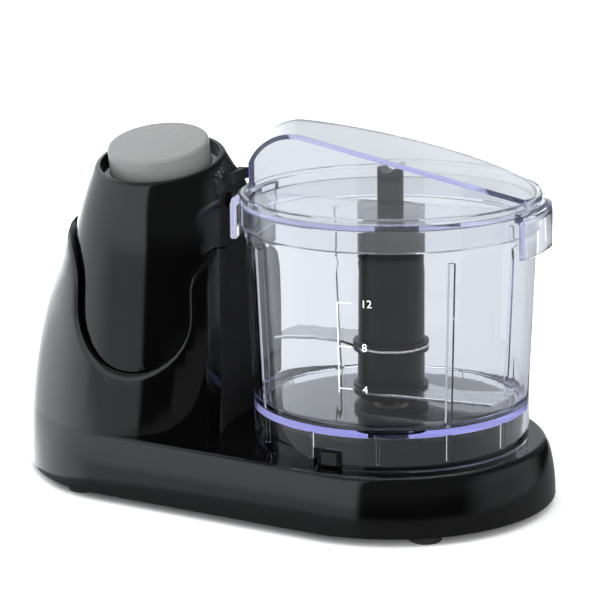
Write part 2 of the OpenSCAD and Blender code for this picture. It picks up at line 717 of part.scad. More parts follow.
// Button and its switch, in the mouth's frame

cap_wall = 1.8;
cap_round = 1.3;
floor_under = -recess_d - wall;
// The dome's ceiling leans a little less than the mouth, so the button's lip keeps a wider gap under it
lip_gap = 0.9;
lip_t = 1.2;
lip_top = floor_under - lip_gap;
stem_r = 4;
stem_end = -22;
carrier_top = -19.2;
carrier_t = 2.4;
// The carrier's disc clears the dome's inside, which leans a little less than the mouth
carrier_r = egg_at(mouth_z + carrier_top * cos(lean)) - wall - 1.3;
switch_top = stem_end - button_travel - 2;
switch_size = [16, 11, 9];
leg_t = 2.4;

module button_cap() color("#8d9299") at_mouth() rotate_extrude() {
    difference() {
        union() {
            translate([0, lip_top]) square([button_r, button_proud - lip_top - cap_round]);
            translate([0, button_proud - 2 * cap_round]) square([button_r - cap_round, 2 * cap_round]);
            translate([button_r - cap_round, button_proud - cap_round]) circle(r = cap_round);
            translate([0, lip_top - lip_t]) square([button_r + 1.2, lip_t]);
        }
        translate([-over, lip_top - lip_t - over])
            square([button_r - cap_wall + over, button_proud - cap_wall - lip_top + lip_t + over]);
        translate([-2 * over, lip_top - 3 * over]) square([2 * over, button_proud * 4]);
    }
    translate([0, stem_end]) square([stem_r, button_proud - 1 - stem_end]);
}
module button_spring() color("#c9ccd0") at_mouth() translate([0, 0, carrier_top + 0.1])
    coil(7.6, 0.6, 5, button_proud - 2 - carrier_top - 0.4);
module button_carrier() color("#242426") difference() {
    at_mouth() {
        translate([0, 0, carrier_top - carrier_t]) cylinder(r = carrier_r, h = carrier_t);
        translate([0, 0, carrier_top - 5]) cylinder(r = stem_r + 2, h = 9);
        for (s = [-1, 1])
            translate([s * (switch_size[0] + leg_t) / 2 - leg_t / 2, -4, switch_top - switch_size[2]])
            cube([leg_t, 8, carrier_top - switch_top + switch_size[2] - over]);
    }
    cove(wall + run_gap, deck_z);
    at_mouth() translate([0, 0, carrier_top - 10]) cylinder(r = stem_r + fit_gap, h = 20);
}
module push_switch() color("#2d2d30") at_mouth() {
    translate([-switch_size[0] / 2, -switch_size[1] / 2, switch_top - switch_size[2]]) cube(switch_size);
    translate([0, 0, switch_top - over]) cylinder(r = 1.8, h = over + 1.8);
    for (x = [-5, 0, 5]) translate([x - 1, -0.4, switch_top - switch_size[2] - 2]) cube([2, 0.8, 3]);
}

// Lid interlock, in the mouth's frame

inner_wall_x = axis_gap - cove_r - wall;
flange_front = inner_wall_x - 0.9;
flange_t = 1.4;
plunger_flange_r = 3.4;
rod_r = 1.4;
rod_end = flange_front - 6.2;
block_front = rod_end - 0.6;
block_t = 3.4;
module interlock_plunger() color("#3a3a3c") at_mouth() translate([0, 0, plunger_u]) rotate([0, 90, 0]) {
    translate([0, 0, flange_front - over])
        cylinder(r = plunger_r, h = plunger_tip - flange_front + over - 0.8);
    translate([0, 0, plunger_tip - 0.8]) cylinder(r1 = plunger_r, r2 = plunger_r - 0.8, h = 0.8);
    translate([0, 0, flange_front - flange_t]) cylinder(r = plunger_flange_r, h = flange_t);
    translate([0, 0, rod_end]) cylinder(r = rod_r, h = flange_front - rod_end);
}
module interlock_spring() color("#c9ccd0") at_mouth()
    translate([block_front + 0.1, 0, plunger_u]) rotate([0, 90, 0])
    coil(2.6, 0.4, 4, flange_front - flange_t - block_front - 0.2);
module interlock_switch() color("#2d2d30") at_mouth() difference() {
    translate([block_front - block_t, -5, carrier_top]) cube([block_t, 10, 9]);
    translate([block_front - block_t + 0.8, 0, plunger_u]) rotate([0, 90, 0])
        cylinder(r = rod_r + run_gap, h = 10);
}

// Bowl

floor_low = deck_z + floor_rise;
floor_top = floor_low + clear_wall;
wall_top = deck_z + bowl_wall_h;
lid_gap = 0.6;
plate_low = wall_top + lid_gap + lid_skirt_h;
neck_r = lid_r - 1.8 - run_gap;
bowl_fillet = 4;
notch_span = 13;
notch_h = 7;
short_rib_d = 1.2;
// Outer radius of the bowl wall at a height above its floor's underside
function bowl_at(z) = bowl_r + (bowl_top_r - bowl_r) * (z - floor_low) / (wall_top - floor_low);
module bowl_profile() {
    inner_low = bowl_at(floor_top + bowl_fillet) - clear_wall;
    difference() {
        polygon(concat(
            [[bowl_r - 0.3, deck_z], [bowl_r, floor_low], [bowl_top_r, wall_top - 0.8]],
            [[bowl_top_r - 0.3, wall_top], [neck_r, wall_top + 0.2], [neck_r, plate_low - 0.4]],
            [[neck_r - 0.4, plate_low], [neck_r - clear_wall, plate_low]],
            [[neck_r - clear_wall, wall_top + 1]],
            [[bowl_at(wall_top - 3) - clear_wall, wall_top - 3], [inner_low, floor_top + bowl_fillet]],
            [for (a = [15:15:90])
                [inner_low - bowl_fillet * (1 - cos(a)), floor_top + bowl_fillet * (1 - sin(a))]],
            [[chimney_r, floor_top], [chimney_r, floor_top + chimney_h]],
            [[chimney_r - clear_wall, floor_top + chimney_h]],
            [[chimney_r - clear_wall, floor_low], [bowl_r - clear_wall - 0.2, floor_low]],
            [[bowl_r - clear_wall - 0.3, deck_z]]));
    }
}
module bowl() color([0.85, 0.9, 0.98, 0.35]) at_bowl() {
    difference() {
        rotate_extrude() bowl_profile();
        bayonet_sector(notch_span, boss_r, bowl_r + over, deck_z - over, notch_h + over);
    }
    // tall ribs inside
    for (a = [45:90:315]) rotate([0, 0, a]) intersection() {
        translate([bowl_r - clear_wall - rib_d, -1, floor_top - 0.5])
            cube([rib_d + 4, 2, wall_top - floor_top - 4]);
        rotate_extrude() polygon([
            [bowl_at(floor_top) - clear_wall - rib_d, floor_top - over],
            [bowl_at(floor_top) - clear_wall / 2, floor_top - over],
            [bowl_at(wall_top) - clear_wall / 2, wall_top],
            [bowl_at(wall_top) - clear_wall - rib_d, wall_top]]);
    }
    // short ribs inside the lower skirt
    for (a = [-75:30:255]) rotate([0, 0, a])
        translate([bowl_r - clear_wall - 0.3 - short_rib_d, -0.6, deck_z + 2.5])
            cube([short_rib_d + 1, 1.2, floor_low - deck_z - 2]);
}

// Blades

hub_low = floor_top + 0.8;
hub_top = plate_low - 1.6;
// The post ends under the lid's sloping top
post_rise = 13;
post_top = plate_low + post_rise;
socket_gap = 0.35;
blade_low = floor_top + lower_blade_rise;
collar_r = hub_r + 1.6;
collar_h = 1.2;
module blade_hub() color("#3b3c40") at_bowl() difference() {
    union() {
        translate([0, 0, hub_low]) cylinder(r = hub_r, h = hub_top - hub_low);
        translate([0, 0, hub_top - 1.5]) cylinder(r = post_r, h = post_top - hub_top + 1.5);
        for (z = [blade_low, blade_low + blade_step]) {
            translate([0, 0, z - collar_h]) cylinder(r = collar_r, h = collar_h);
            translate([0, 0, z + blade_t]) cylinder(r = collar_r, h = collar_h);
        }
    }
    translate([0, 0, hub_low - over])
        cylinder(r = chimney_r + run_gap, h = floor_top + chimney_h + run_gap - hub_low + over);
    translate([0, 0, hub_low])
        cylinder(r = drive_r + socket_gap, h = spindle_top + run_gap - hub_low, $fn = 6);
    // notch across the top of the post
    translate([0, -post_r - over, post_top + 1.2]) rotate([-90, 0, 0])
        cylinder(r = 3, h = 2 * post_r + 2 * over);
    for (z = [0, 1]) translate([0, 0, blade_low + z * blade_step]) rotate([0, 0, 180 * z])
        linear_extrude(blade_t) difference() {
            circle(r = hub_r + over);
            circle(r = hub_r - 1.2);
        }
}
// One blade: a ring set in the hub's groove and one sickle arm with a ground edge
module blade_shape() difference() {
    union() {
        circle(r = hub_r + 1.4);
        intersection() {
            circle(r = blade_tip_r);
            translate([blade_tip_r * 0.5, -4]) circle(r = blade_tip_r * 0.56);
            difference() {
                translate([0, -blade_tip_r * 0.3]) square([blade_tip_r, blade_tip_r]);
                translate([blade_tip_r * 0.62, blade_tip_r * 0.6]) circle(r = blade_tip_r * 0.56);
            }
        }
    }
    circle(r = hub_r - 1.2 + fit_gap);
}
module lower_blade() color("#cfd3d8") at_bowl(blade_low) linear_extrude(blade_t) blade_shape();
module upper_blade() color("#cfd3d8") at_bowl(blade_low + blade_step) rotate([0, 0, 180])
    linear_extrude(blade_t) blade_shape();

// Lid

lid_wall = 1.8;
plate_h = 2;
bead = 0.5;
skirt_low = wall_top + lid_gap;
rim_top = plate_low + plate_h + lid_rim_h;
tab_low = skirt_low - tab_hang;
peak_room = 3 * peak_r;
tab_t = 2.4;
// What is cut off the raised top, in side view: all above its slope, and the corner outside its round end
module peak_waste(inset) {
    r = peak_r - inset;
    high = 90 - peak_slope;
    far = 4 * lid_r;
    translate([-peak_x, peak_rise]) {
        rotate(-peak_slope) translate([-over, r]) square([far + over, far]);
        difference() {
            polygon([[0, 0], far * [cos(high), sin(high)], [-far, far], [-far, 0]]);
            circle(r = r);
        }
        translate([-far, -far]) square([far - r, 2 * far]);
    }
}
module raised_top(inset, low) difference() {
    intersection() {
        translate([0, 0, low]) cylinder(r = lid_r - 1 - inset, h = peak_room - over);
        translate([-lid_r, inset - grip_y, low - over]) cube([2 * lid_r, 2 * lid_r, peak_room + 2 * over]);
    }
    rotate([0, 0, peak_turn]) translate([0, 2 * lid_r, 0]) rotate([90, 0, 0])
        linear_extrude(4 * lid_r) peak_waste(inset);
}
module tab() rotate([0, 0, -tab_span / 2]) rotate_extrude(angle = tab_span) polygon([
    [lid_r - 0.8, rim_top - 5.6], [lid_r - 0.8, rim_top - 2.4],
    [tab_r - 2.6, rim_top - 2.4], [tab_r - 0.7, rim_top - 3.6],
    [tab_r, rim_top - 5.8], [tab_r, tab_low + 0.5], [tab_r - 0.5, tab_low], [tab_r - tab_t + 0.3, tab_low],
    [tab_r - tab_t, tab_low + 0.3], [tab_r - tab_t, rim_top - 6.4], [tab_r - tab_t - 0.8, rim_top - 5.6]]);
module lid() color([0.85, 0.9, 0.98, 0.35]) at_bowl() {
    difference() {
        union() {
            rotate_extrude() polygon([
                [lid_r - lid_wall, skirt_low], [lid_r - 0.3, skirt_low],
                [lid_r, skirt_low + 0.3], [lid_r, rim_top - 2],
                [lid_r + bead, rim_top - 1.5], [lid_r + bead, rim_top - 0.5], [lid_r, rim_top],
                [lid_r - lid_wall + 0.4, rim_top], [lid_r - lid_wall, rim_top - 0.4]]);
            translate([0, 0, plate_low]) cylinder(r = lid_r - 1, h = plate_h);
            translate([0, 0, plate_low]) raised_top(0, 0);
        }
        translate([0, 0, plate_low]) raised_top(clear_wall, -over);
    }
    for (a = [0, 180]) rotate([0, 0, a]) tab();
}

base_housing();
tower_dome();
bottom_plate();
rubber_feet();
bottom_screws();
cord_gland();
motor_bracket();
bracket_screws();
motor_can();
motor_magnets();
motor_end_cap();
motor_bushes();
motor_shaft();
motor_armature();
motor_windings();
motor_commutator();
motor_fan();
motor_pulley();
drive_belt();
bowl_pulley();
drive_spindle();
spindle_bush();
circuit_board();
button_cap();
button_spring();
button_carrier();
push_switch();
interlock_plunger();
interlock_spring();
interlock_switch();
bowl();
blade_hub();
lower_blade();
upper_blade();
lid();
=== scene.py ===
# %% [markdown]
# # Dressing a small food chopper
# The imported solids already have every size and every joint. This lesson gives them their looks: smooth
# black shells, a satin button, a clear bowl and lid, and a quiet white studio. Nothing here moves a solid.

# %% Load the solids
import json
import math
import bmesh
import bpy
from mathutils import Matrix, Vector


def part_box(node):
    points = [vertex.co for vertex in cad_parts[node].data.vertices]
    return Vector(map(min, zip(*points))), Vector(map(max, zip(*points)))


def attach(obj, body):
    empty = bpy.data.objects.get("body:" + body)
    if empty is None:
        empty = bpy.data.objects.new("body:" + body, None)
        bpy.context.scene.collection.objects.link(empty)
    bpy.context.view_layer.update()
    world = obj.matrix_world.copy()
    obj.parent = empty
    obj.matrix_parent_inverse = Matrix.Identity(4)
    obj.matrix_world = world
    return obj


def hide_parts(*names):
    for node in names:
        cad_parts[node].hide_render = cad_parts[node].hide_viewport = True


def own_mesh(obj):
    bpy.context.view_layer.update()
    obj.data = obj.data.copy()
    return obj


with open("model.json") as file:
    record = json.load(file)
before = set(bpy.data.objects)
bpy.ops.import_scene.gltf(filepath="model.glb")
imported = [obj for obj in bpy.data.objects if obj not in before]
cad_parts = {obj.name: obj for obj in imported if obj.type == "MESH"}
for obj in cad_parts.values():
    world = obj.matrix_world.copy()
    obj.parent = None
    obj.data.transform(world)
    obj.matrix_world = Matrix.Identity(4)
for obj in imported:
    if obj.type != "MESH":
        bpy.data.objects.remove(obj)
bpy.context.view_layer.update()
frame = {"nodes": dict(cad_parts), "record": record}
nodes = frame["nodes"]
stage = bpy.context.scene

# %% [markdown]
# ## The camera
# The photograph was taken with a long lens from a little above the table. The place and the view line were
# fitted to the bowl's rim and the base, so the camera is set by a matrix and not by a Track To constraint.

# %% Camera
camera_place = Vector((0.36904, -0.8563, 0.2913))
view_line = Vector((-0.37817, 0.89655, -0.23057)).normalized()
view_roll = math.radians(-0.66)
level_side = view_line.cross(Vector((0, 0, 1))).normalized()
level_up = level_side.cross(view_line)
side_axis = level_side * math.cos(view_roll) + level_up * math.sin(view_roll)
up_axis = level_up * math.cos(view_roll) - level_side * math.sin(view_roll)
camera_data = bpy.data.cameras.new("camera")
camera_data.lens = 156
camera_data.sensor_width = 36
camera_data.sensor_fit = "HORIZONTAL"
camera = bpy.data.objects.new("camera", camera_data)
turn = Matrix((side_axis, up_axis, -view_line)).transposed()
camera.matrix_world = Matrix.Translation(camera_place) @ turn.to_4x4()
stage.collection.objects.link(camera)
stage.camera = camera
print("camera at", [round(v, 3) for v in camera_place])

# %% [markdown]
# ## Finishes
# Every finish is one Principled shader. A noise on Object coordinates varies its roughness and colour a little,
# and a finer noise lifts it as a bump, because no moulded or ground surface is perfectly even. What is the same
# all over is typed into the shader's own sockets.

# %% Helpers for a finish and its noise
def new_finish(name, colour, metallic, ior=1.5):
    finish = bpy.data.materials.new(name)
    finish.use_nodes = True
    shader = finish.node_tree.nodes["Principled BSDF"]
    shader.inputs["Base Color"].default_value = (*colour, 1)
    shader.inputs["Metallic"].default_value = metallic
    shader.inputs["IOR"].default_value = ior
    finish.diffuse_color = (*colour, 1)
    return finish, shader


def add_noise(finish, scale, detail, stretch=(1, 1, 1)):
    tree = finish.node_tree
    place = tree.nodes.new("ShaderNodeTexCoord")
    mapping = tree.nodes.new("ShaderNodeMapping")
    mapping.inputs["Scale"].default_value = stretch
    noise = tree.nodes.new("ShaderNodeTexNoise")
    noise.inputs["Scale"].default_value = scale
    noise.inputs["Detail"].default_value = detail
    tree.links.new(place.outputs["Object"], mapping.inputs["Vector"])
    tree.links.new(mapping.outputs["Vector"], noise.inputs["Vector"])
    return noise


def set_range(step, from_low, from_high, to_low, to_high):
    step.inputs["From Min"].default_value = from_low
    step.inputs["From Max"].default_value = from_high
    step.inputs["To Min"].default_value = to_low
    step.inputs["To Max"].default_value = to_high


# %% [markdown]
# A noise seldom reaches 0 or 1, so the middle of its range is spread over the wanted values.

# %% Helpers for what the noise changes
noise_low, noise_high = 0.3, 0.7
ramp_low, ramp_high = 0.35, 0.65


def vary_roughness(finish, shader, noise, low, high):
    spread = finish.node_tree.nodes.new("ShaderNodeMapRange")
    set_range(spread, noise_low, noise_high, low, high)
    finish.node_tree.links.new(noise.outputs["Fac"], spread.inputs["Value"])
    finish.node_tree.links.new(spread.outputs["Result"], shader.inputs["Roughness"])


def vary_colour(finish, shader, noise, dark, light):
    ramp = finish.node_tree.nodes.new("ShaderNodeValToRGB")
    first, last = ramp.color_ramp.elements
    first.position = ramp_low
    first.color = (*dark, 1)
    last.position = ramp_high
    last.color = (*light, 1)
    finish.node_tree.links.new(noise.outputs["Fac"], ramp.inputs["Fac"])
    finish.node_tree.links.new(ramp.outputs["Color"], shader.inputs["Base Color"])


def lift_grain(finish, shader, noise, strength, depth):
    bump = finish.node_tree.nodes.new("ShaderNodeBump")
    bump.inputs["Strength"].default_value = strength
    bump.inputs["Distance"].default_value = depth
    finish.node_tree.links.new(noise.outputs["Fac"], bump.inputs["Height"])
    finish.node_tree.links.new(bump.outputs["Normal"], shader.inputs["Normal"])


# %% [markdown]
# ## Polished black, the satin button and the charcoal hub
# The housing and dome are polished black plastic, with long, shallow waves. The button is satin with a trace of metal
# flake. The hub is a dull charcoal with a coarse, weak grain.

# %% Finishes of the large plastics
black_gloss, shader = new_finish("black_gloss", (0.001, 0.001, 0.0011), 0)
shader.inputs["Specular IOR Level"].default_value = 0.5
vary_roughness(black_gloss, shader, add_noise(black_gloss, 24, 2), 0.07, 0.11)
lift_grain(black_gloss, shader, add_noise(black_gloss, 160, 1), 0.05, 0.00006)

silver_grey, shader = new_finish("silver_grey", (0.185, 0.19, 0.186), 0.1)
flake = add_noise(silver_grey, 2600, 2)
vary_colour(silver_grey, shader, flake, (0.166, 0.171, 0.167), (0.204, 0.209, 0.205))
vary_roughness(silver_grey, shader, add_noise(silver_grey, 300, 3), 0.36, 0.44)
lift_grain(silver_grey, shader, flake, 0.12, 0.00003)

charcoal, shader = new_finish("charcoal", (0.0033, 0.0034, 0.004), 0)
shader.inputs["Specular IOR Level"].default_value = 0.3
spark = add_noise(charcoal, 420, 2)
vary_colour(charcoal, shader, spark, (0.0024, 0.0025, 0.003), (0.0042, 0.0043, 0.005))
vary_roughness(charcoal, shader, add_noise(charcoal, 120, 2), 0.32, 0.42)
lift_grain(charcoal, shader, spark, 0.05, 0.00004)
print("large plastics:", black_gloss.name, silver_grey.name, charcoal.name)

# %% [markdown]
# ## Matte black, rubber, nylon and the board
# Hidden mouldings are matte. The faces round the bowl have a fine spark texture that hardly shines, and the feet are
# dusty rubber. Nylon and the circuit board are only a little uneven in colour.

# %% Finishes of the small plastics
black_matte, shader = new_finish("black_matte", (0.014, 0.014, 0.015), 0)
spark = add_noise(black_matte, 1200, 3)
vary_roughness(black_matte, shader, spark, 0.45, 0.6)
lift_grain(black_matte, shader, spark, 0.25, 0.00008)

black_texture, shader = new_finish("black_texture", (0.018, 0.018, 0.019), 0)
shader.inputs["Specular IOR Level"].default_value = 0.12
spark = add_noise(black_texture, 1400, 3)
vary_roughness(black_texture, shader, spark, 0.4, 0.55)
lift_grain(black_texture, shader, spark, 0.2, 0.00005)

black_rubber, shader = new_finish("black_rubber", (0.012, 0.012, 0.012), 0)
dust = add_noise(black_rubber, 700, 4)
vary_colour(black_rubber, shader, dust, (0.008, 0.008, 0.008), (0.020, 0.020, 0.019))
vary_roughness(black_rubber, shader, dust, 0.62, 0.8)
lift_grain(black_rubber, shader, dust, 0.3, 0.0001)

white_nylon, shader = new_finish("white_nylon", (0.72, 0.72, 0.68), 0)
cloud = add_noise(white_nylon, 90, 3)
vary_colour(white_nylon, shader, cloud, (0.68, 0.68, 0.63), (0.76, 0.76, 0.73))
vary_roughness(white_nylon, shader, cloud, 0.4, 0.5)

board_green, shader = new_finish("board_green", (0.03, 0.13, 0.05), 0)
cloud = add_noise(board_green, 200, 2)
vary_colour(board_green, shader, cloud, (0.022, 0.11, 0.04), (0.04, 0.16, 0.065))
vary_roughness(board_green, shader, cloud, 0.25, 0.4)
print("finishes so far:", [m.name for m in bpy.data.materials])

# %% [markdown]
# ## Metals
# Ground steel has scratches that all run one way, so its noise is squeezed along one axis and stretched along
# the other. Plated, sintered and drawn metals only differ in colour and in how even they are.

# %% Metal finishes
even_grain = (1, 1, 1)


def metal_finish(name, dark, light, stretch, low, high):
    finish, metal = new_finish(name, light, 1, 2.5)
    scratch = add_noise(finish, 900, 3, stretch)
    vary_colour(finish, metal, scratch, dark, light)
    vary_roughness(finish, metal, scratch, low, high)
    lift_grain(finish, metal, scratch, 0.08, 0.00003)
    return finish


blade_steel = metal_finish("blade_steel", (0.56, 0.57, 0.59), (0.68, 0.69, 0.71), (0.15, 2, 1), 0.16, 0.3)
plated_steel = metal_finish("plated_steel", (0.46, 0.47, 0.49), (0.58, 0.59, 0.61), even_grain, 0.3, 0.45)
spring_steel = metal_finish("spring_steel", (0.54, 0.55, 0.57), (0.64, 0.65, 0.67), (1, 1, 0.1), 0.2, 0.3)
ferrite = metal_finish("ferrite", (0.045, 0.045, 0.05), (0.07, 0.07, 0.075), even_grain, 0.5, 0.65)
copper = metal_finish("copper", (0.52, 0.21, 0.085), (0.66, 0.29, 0.12), (1, 1, 0.2), 0.25, 0.4)
bronze = metal_finish("bronze", (0.48, 0.31, 0.11), (0.58, 0.40, 0.16), even_grain, 0.35, 0.5)
print("metals:", [m.name for m in (blade_steel, plated_steel, spring_steel, ferrite, copper, bronze)])

# %% [markdown]
# ## Clear plastic
# The bowl and lid are one clear plastic about 2 mm thick. It takes out a little red and green on the way through, so
# a wall seen face on looks clear, and an edge, where the light runs a long way inside, turns violet-blue. The lid's
# finish scatters a small share of its light at the surface. That share was chosen to match how dark things look
# through the lid, and the real plastic's haze isn't known.

# %% Clear finishes and the ink
def clear_finish(name, clarity):
    finish, shader = new_finish(name, (0.89, 0.905, 0.915), 0, 1.45)
    shader.inputs["Transmission Weight"].default_value = clarity
    vary_roughness(finish, shader, add_noise(finish, 60, 2), 0.0, 0.02)
    tint = finish.node_tree.nodes.new("ShaderNodeVolumeAbsorption")
    tint.inputs["Color"].default_value = (0.42, 0.42, 0.93, 1)
    tint.inputs["Density"].default_value = 17
    clear_out = finish.node_tree.nodes["Material Output"]
    finish.node_tree.links.new(tint.outputs["Volume"], clear_out.inputs["Volume"])
    return finish


clear_plastic = clear_finish("clear_plastic", 1)
hazy_plastic = clear_finish("hazy_plastic", 0.97)

print_white, shader = new_finish("print_white", (0.85, 0.85, 0.85), 0)
ink = add_noise(print_white, 900, 3)
vary_colour(print_white, shader, ink, (0.80, 0.80, 0.80), (0.90, 0.90, 0.90))
vary_roughness(print_white, shader, ink, 0.45, 0.6)
print("clear and printed:", clear_plastic.name, hazy_plastic.name, print_white.name)

# %% [markdown]
# ## Finishes for the solids
# Each solid's material slot in the record names its finish, so one table dresses all the nodes, the hidden
# ones too.

# %% Dress the solids
finish_of = {
    "black_gloss": black_gloss, "black_matte": black_matte, "black_rubber": black_rubber,
    "silver_grey": silver_grey, "clear_plastic": clear_plastic, "charcoal": charcoal,
    "blade_steel": blade_steel, "plated_steel": plated_steel, "spring_steel": spring_steel,
    "ferrite": ferrite, "copper": copper, "bronze": bronze, "white_nylon": white_nylon,
    "board": board_green,
}
slot_of = {part["node"]: part["material_slot"] for part in frame["record"]["subparts"]}
body_of = {}
for body, members in frame["record"]["behaviour"]["bodies"].items():
    for member in members:
        body_of[member] = body
for node, solid in nodes.items():
    solid.data.materials.clear()
    solid.data.materials.append(finish_of[slot_of[node]])
print("dressed", len(nodes), "solids")

# %% [markdown]
# ## Smooth shells from the solids
# A solid arrives as loose triangles, so light breaks at every edge. A copy with its corners merged can be shaded
# smooth, and edges sharper than a set angle stay crisp. Level faces are kept apart too, or the deck would be shaded
# as if it curved into its rounded edge. Coplanar triangles are joined first, which lets a Bevel modifier round the
# crisp edges the way a mould does. On the clear pieces and the hub, large faces also set the shading at their borders,
# because light bends wrongly in a flat wall that is shaded as a curved one.

# %% Helpers for new objects and smooth copies
weld_distance = 0.00001
flat_angle = math.radians(0.5)
level_normal = 0.995
edge_segments = 2


def new_object(name, work, finish):
    mesh = bpy.data.meshes.new(name)
    work.to_mesh(mesh)
    work.free()
    mesh.materials.append(finish)
    thing = bpy.data.objects.new(name, mesh)
    stage.collection.objects.link(thing)
    return thing


def smooth_copy(node, name, crease, round_edge, even=False):
    work = bmesh.new()
    work.from_mesh(nodes[node].data)
    bmesh.ops.remove_doubles(work, verts=work.verts, dist=weld_distance)
    bmesh.ops.dissolve_limit(work, angle_limit=flat_angle, verts=work.verts, edges=work.edges)
    for face in work.faces:
        face.smooth = True
    for edge in work.edges:
        level = [abs(face.normal.z) > level_normal for face in edge.link_faces]
        edge.smooth = edge.calc_face_angle(0) < math.radians(crease) and all(level) == any(level)
    piece = new_object(name, work, finish_of[slot_of[node]])
    if round_edge:
        bevel = piece.modifiers.new("moulded edge", "BEVEL")
        bevel.limit_method = "ANGLE"
        bevel.angle_limit = math.radians(crease)
        bevel.width = round_edge
        bevel.segments = edge_segments
    if even:
        weight = piece.modifiers.new("even walls", "WEIGHTED_NORMAL")
        weight.keep_sharp = True
    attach(piece, body_of[node])
    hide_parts(node)
    print(name, len(piece.data.polygons), "faces")
    return piece


# %% [markdown]
# The crease angle keeps an edge crisp, and the rounding is what a mould leaves on it: less on thin blades and on the
# button's top.

# %% Shells, button, clear pieces, blades and feet
housing_shell = smooth_copy("base_housing", "housing_shell", 36, 0.0004)
dome_shell = smooth_copy("tower_dome", "dome_shell", 32, 0.0004)
smooth_copy("button_cap", "button_top", 40, 0.0002)
smooth_copy("bowl", "clear_bowl", 32, 0.0003, even=True)
clear_lid = smooth_copy("lid", "clear_lid", 32, 0.0004, even=True)
clear_lid.data.materials[0] = hazy_plastic
smooth_copy("blade_hub", "hub_body", 32, 0.0004, even=True)
smooth_copy("lower_blade", "lower_edge", 32, 0.0003)
smooth_copy("upper_blade", "upper_edge", 32, 0.0003)
smooth_copy("rubber_feet", "foot_pads", 32, 0.0003)

# %% [markdown]
# ## Coil springs
# A coil spring stands on its seat at one end and is pushed at the other, so it gets shorter as the button or the
# plunger goes in. A spring that kept its length would come out through the button's top. Each spring here gets a
# smooth copy with a mesh of its own, and keeps its length.


def pressed_spring(node, name):
    coil = smooth_copy(node, name, 50, 0)
    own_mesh(coil)


pressed_spring("button_spring", "button_coil")
pressed_spring("interlock_spring", "interlock_coil")

# %% [markdown]
# ## Textured faces
# The boss under the bowl and the hollow of the tower are not polished like the rest: their faces get a fine texture.
# They are the faces above the deck that lie near the bowl's axis.

# %% Textured faces round the bowl
hollow_margin = 0.0042
deck_margin = 0.0005
bowl_low, bowl_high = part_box("bowl")
bowl_axis = Vector(((bowl_low.x + bowl_high.x) / 2, 0, 0))
lid_low, lid_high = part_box("lid")
hollow_reach = (lid_high.x - lid_low.x) / 2 + hollow_margin
deck_level = bowl_low.z + deck_margin
for shell in (housing_shell, dome_shell):
    shell.data.materials.append(black_texture)
    for face in shell.data.polygons:
        away = face.center - bowl_axis
        if away.xy.length < hollow_reach and away.z > deck_level:
            face.material_index = 1
    print(shell.name, "textured faces:", sum(face.material_index for face in shell.data.polygons))

# %% [markdown]
# ## The printed scale
# The bowl carries a white scale: one upright line, three ticks and a plain number at each. The print is laid out
# flat, with distance round the bowl along X and height along Y, and then every corner is carried to the bowl's
# slightly conical wall. Text starts as a font curve and is turned into a mesh before it is bent.

# %% Helpers for flat print
bar_step = 0.001
font_share = 1.4


def flat_bar(work, left, low, width, height):
    steps = max(1, round(width / bar_step))
    bar = bmesh.ops.create_grid(work, x_segments=steps, y_segments=4, size=0.5)["verts"]
    bmesh.ops.scale(work, vec=(width, height, 1), verts=bar)
    bmesh.ops.translate(work, vec=(left + width / 2, low + height / 2, 0), verts=bar)


def flat_number(work, digits, left, low, height):
    curve = bpy.data.curves.new("digits", "FONT")
    curve.body = digits
    curve.size = height * font_share
    text = bpy.data.objects.new("digits", curve)
    stage.collection.objects.link(text)
    bpy.context.view_layer.update()
    flat = bpy.data.meshes.new_from_object(text.evaluated_get(bpy.context.evaluated_depsgraph_get()))
    bpy.data.objects.remove(text)
    flat.transform(Matrix.Translation((left, low, 0)))
    work.from_mesh(flat)
    bpy.data.meshes.remove(flat)


# %% [markdown]
# The ticks' levels were read from the photograph through the fitted camera. The ink lies a hair off the wall.

# %% Lay out and wrap the scale
print_lift = 0.00006
wall_foot_level, wall_height = 0.036, 0.0663
wall_foot_radius, wall_flare = 0.0502, 0.0028
line_left, line_low, line_width, line_height = -0.0002, 0.0525, 0.00042, 0.0325
tick_length, tick_width = 0.0048, 0.0004
number_left, number_height = 0.0084, 0.0028
front_angle = math.radians(-90)


def bowl_radius(height):
    return wall_foot_radius + wall_flare * (height - wall_foot_level) / wall_height


work = bmesh.new()
flat_bar(work, line_left, line_low, line_width, line_height)
for number, level in (("12", 0.0848), ("8", 0.0692), ("4", 0.0541)):
    flat_bar(work, 0, level - tick_width / 2, tick_length, tick_width)
    flat_number(work, number, number_left, level - number_height / 2, number_height)
for corner in work.verts:
    radius = bowl_radius(corner.co.y) + print_lift
    angle = front_angle + corner.co.x / radius
    corner.co = bowl_axis + Vector((radius * math.cos(angle), radius * math.sin(angle), corner.co.y))
bmesh.ops.recalc_face_normals(work, faces=work.faces)
printed_scale = new_object("printed_scale", work, print_white)
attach(printed_scale, "bowl")
print("printed scale:", len(printed_scale.data.polygons), "faces")

# %% [markdown]
# ## The floor
# A white sheet lies under and behind the object. Polished black shows nothing but what stands round it, and clear
# plastic what stands behind it, so both get a room made for them. The sheet is kept out of reflections and out of
# what is seen through the clear pieces.

# %% Floor
paper, shader = new_finish("paper", (0.93, 0.93, 0.93), 0)
vary_colour(paper, shader, add_noise(paper, 400, 3), (0.925, 0.925, 0.925), (0.94, 0.94, 0.94))
shader.inputs["Roughness"].default_value = 0.7
shader.inputs["Specular IOR Level"].default_value = 0.15
work = bmesh.new()
bmesh.ops.create_grid(work, x_segments=1, y_segments=1, size=8)
floor = new_object("floor", work, paper)
floor.visible_glossy = False
floor.visible_transmission = False
print("floor laid")

# %% [markdown]
# ## The surround
# A closed drum of light stands round everything, and only rays that go through clear plastic see it. Its front is
# dimmer than its back, so an edge that bends the view towards the front looks darker than the wall beside it.

